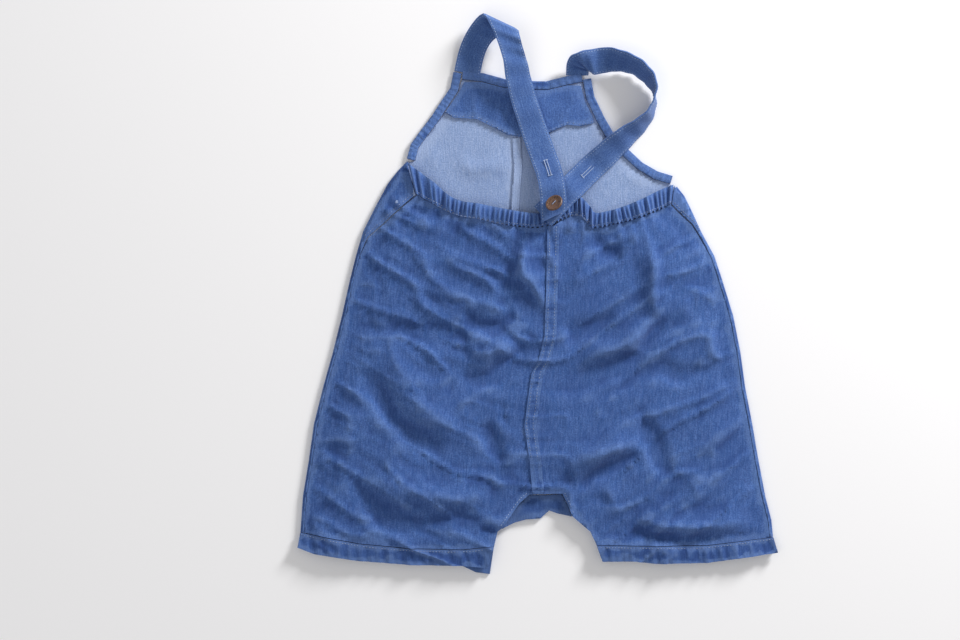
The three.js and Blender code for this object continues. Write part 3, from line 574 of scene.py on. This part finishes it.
def thread_material(name, colour):
    """Spun polyester sewing thread: a plain soft sheen, slightly uneven in dye."""
    material = bpy.data.materials.new(name)
    material.use_nodes = True
    tree = material.node_tree
    shader = tree.nodes["Principled BSDF"]
    place = node(tree, "ShaderNodeTexCoord").outputs["Object"]
    dye = node(tree, "ShaderNodeTexNoise", {"Scale": 1 / 0.006, "Detail": 2.0}, Vector=place)
    tint = mix(tree, dye.outputs["Fac"], linear(colour), linear("#c4d0e6"))
    tree.links.new(tint, shader.inputs["Base Color"])
    shader.inputs["Roughness"].default_value = 0.6
    shader.inputs["Specular IOR Level"].default_value = 0.3
    return material


def coconut(name, pale, dark):
    """Turned and polished coconut shell: short brown fibres, pores, and a waxed surface."""
    material = bpy.data.materials.new(name)
    material.use_nodes = True
    tree = material.node_tree
    shader = tree.nodes["Principled BSDF"]
    place = node(tree, "ShaderNodeTexCoord").outputs["Object"]
    fibre = node(tree, "ShaderNodeMapping", {
        "Scale": (1 / 0.0006, 1 / 0.003, 1 / 0.0006), "Rotation": (0, 0, 0.6)},
                 Vector=place)
    grain = node(tree, "ShaderNodeTexNoise", {"Scale": 1.0, "Detail": 5.0}, Vector=fibre.outputs[0])
    ramp = node(tree, "ShaderNodeValToRGB", Fac=grain.outputs["Fac"])
    ramp.color_ramp.elements[0].position, ramp.color_ramp.elements[1].position = 0.35, 0.65
    tree.links.new(mix(tree, ramp.outputs[0], linear(dark), linear(pale)), shader.inputs["Base Color"])
    bump = node(tree, "ShaderNodeBump", {"Strength": 0.4, "Distance": 0.0003}, Height=grain.outputs["Fac"])
    tree.links.new(bump.outputs[0], shader.inputs["Normal"])
    shader.inputs["Roughness"].default_value = 0.42
    shader.inputs["IOR"].default_value = 1.5
    return material


def give(piece, material):
    piece.data.materials.clear()
    piece.data.materials.append(material)


def cloth_area(piece):
    """Area of one face of a closed sheet, in square metres."""
    body = bmesh.new()
    body.from_mesh(piece.data)
    area = sum(face.calc_area() for face in body.faces) / 2
    body.free()
    return area


# ---------------------------------------------------------------- sizes and colours a user may change

class ShortsSettings(bpy.types.PropertyGroup):
    cell: bpy.props.FloatProperty(
        name="Cell", description="Spacing of the fine cloth's points on the back", default=0.0028,
        unit="LENGTH")
    stitch: bpy.props.FloatProperty(
        name="Stitch", description="Distance from one stitch to the next", default=0.0026, unit="LENGTH")
    thread: bpy.props.FloatProperty(
        name="Thread", description="Thickness of the sewing thread", default=0.0005, unit="LENGTH")
    floor_size: bpy.props.FloatProperty(
        name="Floor", description="Side of the pale floor", default=6.0, unit="LENGTH")
    denim_main: bpy.props.StringProperty(
        name="Denim", description="Washed indigo of the outside, sRGB hex", default="#3c609e")
    # The dark indigo also paints the shade in the hollows of the folds.
    denim_dark: bpy.props.StringProperty(
        name="Dark indigo", description="Unworn indigo in the hollows, sRGB hex", default="#26407a")
    # The pale is both rubbed cotton and the painted highlight on raised folds and edges.
    denim_pale: bpy.props.StringProperty(
        name="Worn denim", description="Worn cotton along folds and edges, sRGB hex", default="#86a3d3")
    inside: bpy.props.StringProperty(
        name="Inside", description="Paler wrong side of the denim, sRGB hex", default="#93aad3")
    shell: bpy.props.StringProperty(
        name="Coconut", description="Brown of the button, sRGB hex", default="#80604c")


def settings():
    return bpy.context.scene.shorts


def material(key):
    """The garment's materials, made on first use."""
    if key in bpy.data.materials:
        return bpy.data.materials[key]
    s = settings()
    main, dark, pale = s.denim_main, s.denim_dark, s.denim_pale
    makers = {
        # Each sheet's pale amount sets how far raised points are painted pale, as rubbed cotton and painted
        # highlight; hollows get painted shade besides.
        "washed_denim": lambda: denim(key, main, dark, pale, "#5878b6", wear_and_painted_light=0.16, grain_turn=0.06),
        "washed_denim_hem": lambda: denim(key, "#34528a", dark, pale, "#45649f", wear_and_painted_light=0.2),
        "washed_denim_facing": lambda: denim(key, "#4a6dae", dark, pale, "#5c7ebe", wear_and_painted_light=0.18),
        "washed_denim_strap": lambda: denim(key, "#4a6ca9", dark, pale, "#6080ba", uses_uv=True, wear_and_painted_light=0.12),
        "denim_wrong_side": lambda: denim(key, s.inside, "#6b82b0", "#b4c4e4", "#a8bbe0", wear_and_painted_light=0.3),
        "pale_blue_thread": lambda: thread_material(key, "#8ba4d2"),
        "navy_thread": lambda: thread_material(key, "#3a4f80"),
        "polished_coconut": lambda: coconut(key, s.shell, "#3f2a20"),
    }
    return makers[key]()


def length_of(points):
    """Length of a line of points in millimetres, in metres."""
    return MM * sum(math.dist(a[:2], b[:2]) for a, b in zip(points, points[1:]))


def lay(piece, nodes, look, cut=None, scale=0.006):
    """Gives a finished sheet its curvature for painted pale ridges (rubbed cotton and painted highlight) and
    painted shade in hollows, its material and its body, and hides the nodes it stands for. It works out a
    flat size, cut for a strip and for a shaped panel its finished box, and an area that is the finished
    cloth's own, up to width by length, which says nothing about whether the cloth was stretched; none of
    these is kept."""
    store_wear_and_painted_light(piece, scale)
    give(piece, material(look))
    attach(piece, "root")
    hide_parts(*nodes)
    points = np.array([v.co for v in piece.data.vertices])
    spans = points.max(axis=0) - points.min(axis=0)
    width, length = cut or (float(spans[0]), float(spans[1]))
    area = min(cloth_area(piece), width * length)


def on_back(thickness, extra=None):
    """Reshapes a piece that lies in the back's surface, its underside on back_height."""
    def reshape(x, y, z, up):
        base = back_height(x, y)
        if extra is not None:
            base = base + extra(x, y)
        return x, y, base + np.where(up, thickness, 0.0)
    return reshape


class SHORTS_OT_back(bpy.types.Operator):
    """Two back panels with their folds, creases and gathers, and the felled seam between them"""
    bl_idname = "shorts.back"
    bl_label = "Back panels"

    def execute(self, context):
        cell = settings().cell
        for side in ("left", "right"):
            piece = fine_copy(f"back_{side}", f"back_{side}_cloth", cell, on_back(1.0))
            lay(piece, [f"back_{side}"], "washed_denim")

        def puckered(x, y):
            return 0.16 * np.sin(y / 0.62 + np.sin(y / 5)) + 0.12 * np.sin(y / 1.9)

        fell = fine_copy("back_centre_fell", "centre_back_fell", 0.0016, lambda x, y, z, up: (
            x, y, back_height(x, y) + 1.1 + np.where(up, 1.1 + puckered(x, y), 0.0)))
        lay(fell, ["back_centre_fell"], "washed_denim",
            (FELL_CUT, length_of(BACK_SEAM)))
        return {"FINISHED"}


class SHORTS_OT_front(bpy.types.Operator):
    """Two front panels with the bib's soft folds, turned up round the side edges, and their inner fell"""
    bl_idname = "shorts.front"
    bl_label = "Front panels"

    def execute(self, context):
        def reshape(x, y, z, up):
            over = z > 2.2
            rise = back_height(x, y) + np.where(up, 1.2, 0.0)
            near = np.minimum(nearest(LEFT_EDGE, x, y)[0], nearest(RIGHT_EDGE, x, y)[0])
            flap = over & (near > 3.2)
            return x, y, np.where(flap, rise, z + np.where(over, 0.0, bib_height(x, y)))

        for side in ("left", "right"):
            piece = fine_copy(f"front_{side}", f"front_{side}_cloth", 0.0045, reshape)
            lay(piece, [f"front_{side}"], "denim_wrong_side")
            paint_outside(piece)
        fell = fine_copy("front_centre_fell", "centre_front_fell", 0.003, lambda x, y, z, up: (
            x, y, z + bib_height(x, y) + np.where(up, 0.25 + 0.12 * np.sin(y / 0.9), 0)))
        lay(fell, ["front_centre_fell"], "denim_wrong_side",
            (FELL_CUT, length_of(FRONT_SEAM)))
        return {"FINISHED"}


def paint_outside(piece):
    """The outside of the cloth is blue: faces that look down, and those of the part turned over."""
    piece.data.materials.append(material("washed_denim"))
    for face in piece.data.polygons:
        turned_over = face.center.z > 2.0 * MM and face.normal.z > -0.2 and (
            face.center.y < 84 * MM or not -106 * MM < face.center.x < 111 * MM)
        face.material_index = 1 if face.normal.z < 0.2 and face.center.z < 1.0 * MM or turned_over else 0
        if abs(face.normal.z) < 0.75 and face.center.y < 114 * MM:
            face.material_index = 1


class SHORTS_OT_bib(bpy.types.Operator):
    """Facing of the bib, its neck band and the armhole bindings, puckered along their stitches"""
    bl_idname = "shorts.bib"
    bl_label = "Bib facing and bindings"

    def execute(self, context):
        def facing(x, y, z, up):
            edge = nearest(FACING_EDGE, x, y)
            pucker = 0.5 * np.sin(edge[2] * 170) * np.exp(-edge[0] / 4)
            return x, y, z + bib_height(x, y) + np.where(up, np.maximum(0.3 + pucker, 0), 0)

        piece = fine_copy("bib_facing", "bib_facing_cloth", 0.0022, facing)
        lay(piece, ["bib_facing"], "washed_denim_facing")
        for source, line, waves in (
            ("neck_band", NECK, 90), ("armhole_binding_left", LEFT_ARMHOLE, 130),
            ("armhole_binding_right", RIGHT_ARMHOLE, 160),
        ):
            def bound(x, y, z, up, line=line, waves=waves):
                middle, side, along = nearest(rounded(line), x, y)
                crown = 0.9 * np.sqrt(np.clip(1 - (middle / 3.6) ** 2, 0, 1))
                groove = -0.55 * np.exp(-((side * middle - 1.4) / 0.7) ** 2)
                pucker = 0.34 * np.sin(along * waves + np.sin(along * 23))
                return x, y, z + bib_height(x, y) + np.where(up, np.maximum(crown + groove + pucker, -0.2), 0)

            piece = fine_copy(source, f"{source}_cloth", 0.0014, bound)
            cut = (BINDING_CUT, length_of(line))
            lay(piece, [source], "washed_denim_facing", cut, 0.004)
        return {"FINISHED"}


class SHORTS_OT_hems(bpy.types.Operator):
    """Turned-up leg hems with small uneven puckers, and the crotch placket"""
    bl_idname = "shorts.hems"
    bl_label = "Leg hems and placket"

    def execute(self, context):
        for side, line, reach in (("left", LEFT_HEM_LINE, 62), ("right", RIGHT_HEM_LINE, 71)):
            def hem(x, y, z, up, line=line, reach=reach):
                away, _, along = nearest(line, x, y)
                pucker = np.sin(along * reach + 1.6 * np.sin(along * 17))
                pucker = pucker + 0.7 * np.sin(along * reach * 2.3 + y / 6)
                base = back_height(x, y)
                shape = 0.5 * pucker * smooth(away / 5) * smooth((19 - away) / 5)
                return x, y, base + np.where(up, 1.9 + np.maximum(shape, -0.8), 0)

            piece = fine_copy(f"back_hem_{side}", f"back_hem_{side}_cloth", 0.0019, hem)
            lay(piece, [f"back_hem_{side}"], "washed_denim_hem",
                (BACK_HEM_CUT, length_of(line)))
            name = f"front_hem_{side}"
            under = fine_copy(name, f"{name}_cloth", 0.004, lambda x, y, z, up: (x, y, z))
            lay(under, [name], "washed_denim_hem", (FRONT_HEM_CUT, length_of(line)))
        placket = fine_copy("crotch_placket", "crotch_placket_cloth", 0.002, lambda x, y, z, up: (
            x, y, z + np.where(up, 0.7 * np.sin(x / 6) * np.sin(y / 4 + 1) - 0.4, 0)))
        lay(placket, ["crotch_placket"], "washed_denim_hem")
        return {"FINISHED"}


class SHORTS_OT_casing(bpy.types.Operator):
    """Elastic casing across the back, gathered into narrow upright pleats"""
    bl_idname = "shorts.casing"
    bl_label = "Elastic casing"

    def execute(self, context):
        rows = np.array(rounded([row for row in CASING_ROWS], 26))
        step = np.hypot(np.diff(rows[:, 0]), np.diff(rows[:, 1]))
        travelled = np.concatenate([[0], np.cumsum(step)])
        points, uvs, faces = [], [], []
        around = 10
        base = back_height(rows[:, 0], rows[:, 1])
        for k, row in enumerate(rows):
            s = travelled[k]
            gathered = float(smooth(np.array((s - 8) / 18)) * smooth(np.array((travelled[-1] - s) / 10)))
            phase = s * 2 * math.pi / 3.9 + 1.1 * math.sin(s / 7.3)
            pleat = gathered * (0.62 * math.sin(phase) + 0.3 * math.sin(phase * 0.53 + 2))
            for side in (1, -1):
                for cell in range(around + 1):
                    v = cell / around if side > 0 else 1 - cell / around
                    bulge = math.sin(math.pi * min(max(v, 0.02), 0.98)) ** 0.5
                    frill = 0.9 * gathered * math.sin(phase + 1) * (1 - v) ** 6
                    x = row[0] + (row[2] - row[0]) * v + 0.35 * pleat * (1 - v)
                    y = row[1] + (row[3] - row[1]) * v + frill
                    z = base[k] + row[4] + (1.0 + (1.3 + pleat) * bulge + 0.5 if side > 0 else 0.1)
                    points.append((x * MM, y * MM, z * MM))
                    uvs.append((s * 1.7 * MM, v * 0.013))
        size = 2 * (around + 1)
        for k in range(len(rows) - 1):
            for cell in range(size):
                a, b = k * size + cell, k * size + (cell + 1) % size
                faces.append((a, b, b + size, a + size))
        last = (len(rows) - 1) * size
        faces += [tuple(range(size)), tuple(last + c for c in reversed(range(size)))]
        piece = new_object("back_casing_cloth", points, faces, uvs)
        finish_mesh(piece, 60)
        lay(piece, ["back_casing"], "washed_denim",
            (CASING_CUT, travelled[-1] * MM), 0.003)
        return {"FINISHED"}


class SHORTS_OT_straps(bpy.types.Operator):
    """Two doubled straps, edge-stitched, with a buttonhole in each"""
    bl_idname = "shorts.straps"
    bl_label = "Straps"

    def execute(self, context):
        s = settings()
        for side, rows, hole in (("left", LEFT_STRAP, (8.3, 108.0)), ("right", RIGHT_STRAP, (42.5, 105.5))):
            sections = strap_sections(rows, 6)
            middle, width, normal = sections[0]
            back = (middle - sections[1][0]) * Vector((1, 1, 0))
            sections[0] = (middle + back.normalized() * 2.5 * MM, width, normal)
            piece = ribbon(f"strap_{side}_cloth", sections, 1.9 * MM)
            # curvature for the painted highlight on the strap's ridges and the painted shade in its hollows
            store_wear_and_painted_light(piece, 0.004)
            give(piece, material("washed_denim_strap"))
            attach(piece, "root")
            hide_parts(f"strap_{side}")
            runs = []
            for edge in (-0.86, 0.86):
                for face in (1, -1):
                    runs.append([(middle + width * edge + normal * face * 1.0 * MM, normal * face)
                                 for middle, width, normal in sections])
            sewn = stitches(f"strap_{side}_stitches", runs, s.stitch, 1.7 * MM, s.thread)
            give(sewn, material("pale_blue_thread"))
            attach(sewn, "root")
            buttonhole(f"strap_{side}_buttonhole", sections, hole)
        return {"FINISHED"}


def buttonhole(name, sections, place):
    """A worked buttonhole: two close rows of satin stitches round a slit, with a bar at each end."""
    later = range(len(sections) // 2, len(sections) - 1)
    at = min(later, key=lambda k: math.dist(sections[k][0][:2], (place[0] * MM, place[1] * MM)))
    middle, width, normal = sections[at]
    after = sections[at + 1][0]
    along = (after - middle).normalized()
    if normal.z < 0:
        normal = -normal
    half = 7.0 * MM
    across = width.normalized()
    runs = []
    for side in (-1, 1):
        runs.append([(middle + along * (half * t / 6) + across * side * 1.1 * MM + normal * 1.15 * MM, normal)
                     for t in range(-6, 7)])
    for end in (-1, 1):
        runs.append([(middle + along * half * end + across * t * 0.5 * MM + normal * 1.15 * MM, normal)
                     for t in range(-4, 5)])
    piece = stitches(name, runs, 0.55 * MM, 1.2 * MM, 0.8 * MM)
    give(piece, material("pale_blue_thread"))
    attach(piece, "root")


class SHORTS_OT_seams(bpy.types.Operator):
    """Rows of stitches along the seams, hems, bindings and casing"""
    bl_idname = "shorts.seams"
    bl_label = "Seam stitches"

    def execute(self, context):
        s = settings()

        def run(points, height, dx=0.0, dy=0.0):
            line = np.array(rounded(points, 14)) + (dx, dy)
            x, y = line[:, 0], line[:, 1]
            z = height(x, y)
            return [(Vector((a, b, c)) * MM, Vector((0, 0, 1))) for a, b, c in zip(x, y, z)]

        def over_back(lift):
            return lambda x, y: back_height(x, y) + lift

        casing_low = [(row[0] + 0.2, row[1] + 2.0) for row in CASING_ROWS]
        dark = [
            run(BACK_SEAM[:-1], over_back(2.3), -2.6), run(BACK_SEAM[:-1], over_back(2.3), -8.0),
            run(casing_low, over_back(3.2)), run(LEFT_SIDE_SEAM, over_back(1.35), -1.6, 1.6),
            run(RIGHT_SIDE_SEAM, over_back(1.35), 1.6, 1.6),
            run(FACING_EDGE, lambda x, y: 3.1 + bib_height(x, y), 0, 1.5),
        ]
        dark += [run(LEFT_HEM_LINE, over_back(2.0), 0, -1.6), run(RIGHT_HEM_LINE, over_back(2.0), 0, -1.6)]
        pale = [
            run(FRONT_SEAM[1:4], lambda x, y: 2.55 + bib_height(x, y), -2.6),
            run(FRONT_SEAM[1:4], lambda x, y: 2.55 + bib_height(x, y), 2.4),
            run(LEFT_INSEAM[:3], over_back(1.15), -1.5, 1.6),
            run(RIGHT_INSEAM[:3], over_back(1.15), 1.5, 1.6),
        ]
        for name, runs, look in (
            ("seam_stitches", dark, "navy_thread"), ("inner_stitches", pale, "pale_blue_thread"),
        ):
            piece = stitches(name, runs, s.stitch, 1.8 * MM, s.thread)
            give(piece, material(look))
            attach(piece, "root")
        return {"FINISHED"}


class SHORTS_OT_button(bpy.types.Operator):
    """Coconut button with a rounded rim and a twist of thread"""
    bl_idname = "shorts.button"
    bl_label = "Button"

    def execute(self, context):
        low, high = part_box("button")
        middle = (Vector(low) + Vector(high)) / 2
        azimuth, tilt = math.radians(BUTTON_AZIMUTH), math.radians(BUTTON_TILT)
        lean = Vector((math.cos(azimuth), math.sin(azimuth), 0)) * math.sin(tilt)
        up = (lean + Vector((0, 0, math.cos(tilt)))).normalized()
        turn = up.to_track_quat("Z", "Y")
        profile = ((0, 0), (6.0, 0), (7.1, 0.5), (7.6, 1.3), (7.5, 2.1), (7.0, 2.6), (6.1, 2.6), (5.4, 2.1),
                   (4.6, 1.8), (0, 1.7))
        rounds = 56
        points, faces = [], []
        for radius, height in profile[1:-1]:
            for k in range(rounds):
                angle = 2 * math.pi * k / rounds
                level = height - BUTTON_THICKNESS / 2
                rim = Vector((radius * math.cos(angle), radius * math.sin(angle), level))
                points.append(turn @ rim * MM + middle)
        for ring in range(len(profile) - 3):
            for k in range(rounds):
                a, b = ring * rounds + k, ring * rounds + (k + 1) % rounds
                faces.append((a, b, b + rounds, a + rounds))
        last = (len(profile) - 3) * rounds
        faces += [tuple(reversed(range(rounds))), tuple(last + k for k in range(rounds))]
        piece = new_object("coconut_button", points, faces)
        finish_mesh(piece, 40)
        give(piece, material("polished_coconut"))
        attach(piece, "root")
        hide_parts("button")
        across = turn @ Vector((1, 0, 0))
        runs = [[
            (middle + up * (0.9 - 0.05 * t) * MM + across * (t * 0.45 + aside) * MM, up) for t in range(-4, 5)
        ] for aside in (-0.3, 0.3)]
        tie = stitches("button_thread", runs, 0.5 * MM, 1.2 * MM, 0.9 * MM)
        give(tie, material("pale_blue_thread"))
        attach(tie, "root")
        return {"FINISHED"}


class SHORTS_OT_stage(bpy.types.Operator):
    """Pale floor, soft studio light and the camera straight above"""
    bl_idname = "shorts.stage"
    bl_label = "Stage"

    def execute(self, context):
        scene = bpy.context.scene
        deselect()
        bpy.ops.mesh.primitive_plane_add(size=settings().floor_size, location=(0, 0, -0.0004))
        floor = bpy.context.object
        floor.name = "floor"
        bpy.ops.object.transform_apply(location=True, rotation=True, scale=True)
        paper = bpy.data.materials.new("white_matt_board")
        paper.use_nodes = True
        shader = paper.node_tree.nodes["Principled BSDF"]
        shader.inputs["Base Color"].default_value = linear("#fbfafb")
        shader.inputs["Roughness"].default_value = 0.9
        shader.inputs["Specular IOR Level"].default_value = 0.1
        give(floor, paper)

        def lamp(name, place, size, power):
            data = bpy.data.lights.new(name, "AREA")
            data.shape, data.size, data.energy = "SQUARE", size, power
            made = bpy.data.objects.new(name, data)
            made.location = place
            made.rotation_euler = (-Vector(place)).to_track_quat("-Z", "Y").to_euler()
            scene.collection.objects.link(made)

        lamp("key", (1.25, 1.35, 0.72), 0.5, 48)
        lamp("fill", (-1.2, -0.9, 2.2), 2.0, 10)
        world = bpy.data.worlds.new("studio")
        scene.world = world
        world.use_nodes = True
        sky = world.node_tree.nodes["Background"]
        sky.inputs["Color"].default_value = (1, 1, 1, 1)
        sky.inputs["Strength"].default_value = 0.42
        data = bpy.data.cameras.new("camera")
        camera = bpy.data.objects.new("camera", data)
        scene.collection.objects.link(camera)
        distance, seen = 1.7, 0.816
        data.sensor_width = 36
        data.lens = data.sensor_width * distance / seen
        camera.location = (-0.0485, -0.0213, distance)
        scene.camera = camera
        scene.view_settings.view_transform = "Standard"
        return {"FINISHED"}


OPERATORS = (
    SHORTS_OT_stage, SHORTS_OT_front, SHORTS_OT_back, SHORTS_OT_bib, SHORTS_OT_hems, SHORTS_OT_casing,
    SHORTS_OT_straps, SHORTS_OT_seams, SHORTS_OT_button,
)


class SHORTS_PT_panel(bpy.types.Panel):
    """The garment's sizes, colours and pieces"""
    bl_idname = "SHORTS_PT_panel"
    bl_label = "Suspender shorts"
    bl_space_type = "VIEW_3D"
    bl_region_type = "UI"
    bl_category = "Shorts"

    def draw(self, context):
        for key in ShortsSettings.__annotations__:
            self.layout.prop(context.scene.shorts, key)
        for made in OPERATORS:
            self.layout.operator(made.bl_idname)


def register():
    for made in (ShortsSettings, *OPERATORS, SHORTS_PT_panel):
        bpy.utils.register_class(made)
    bpy.types.Scene.shorts = bpy.props.PointerProperty(type=ShortsSettings)


def unregister():
    del bpy.types.Scene.shorts
    for made in reversed((ShortsSettings, *OPERATORS, SHORTS_PT_panel)):
        bpy.utils.unregister_class(made)


def main():
    register()
    for made in OPERATORS:
        group, name = made.bl_idname.split(".")
        getattr(getattr(bpy.ops, group), name)()
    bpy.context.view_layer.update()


if __name__ == "__main__":
    main()
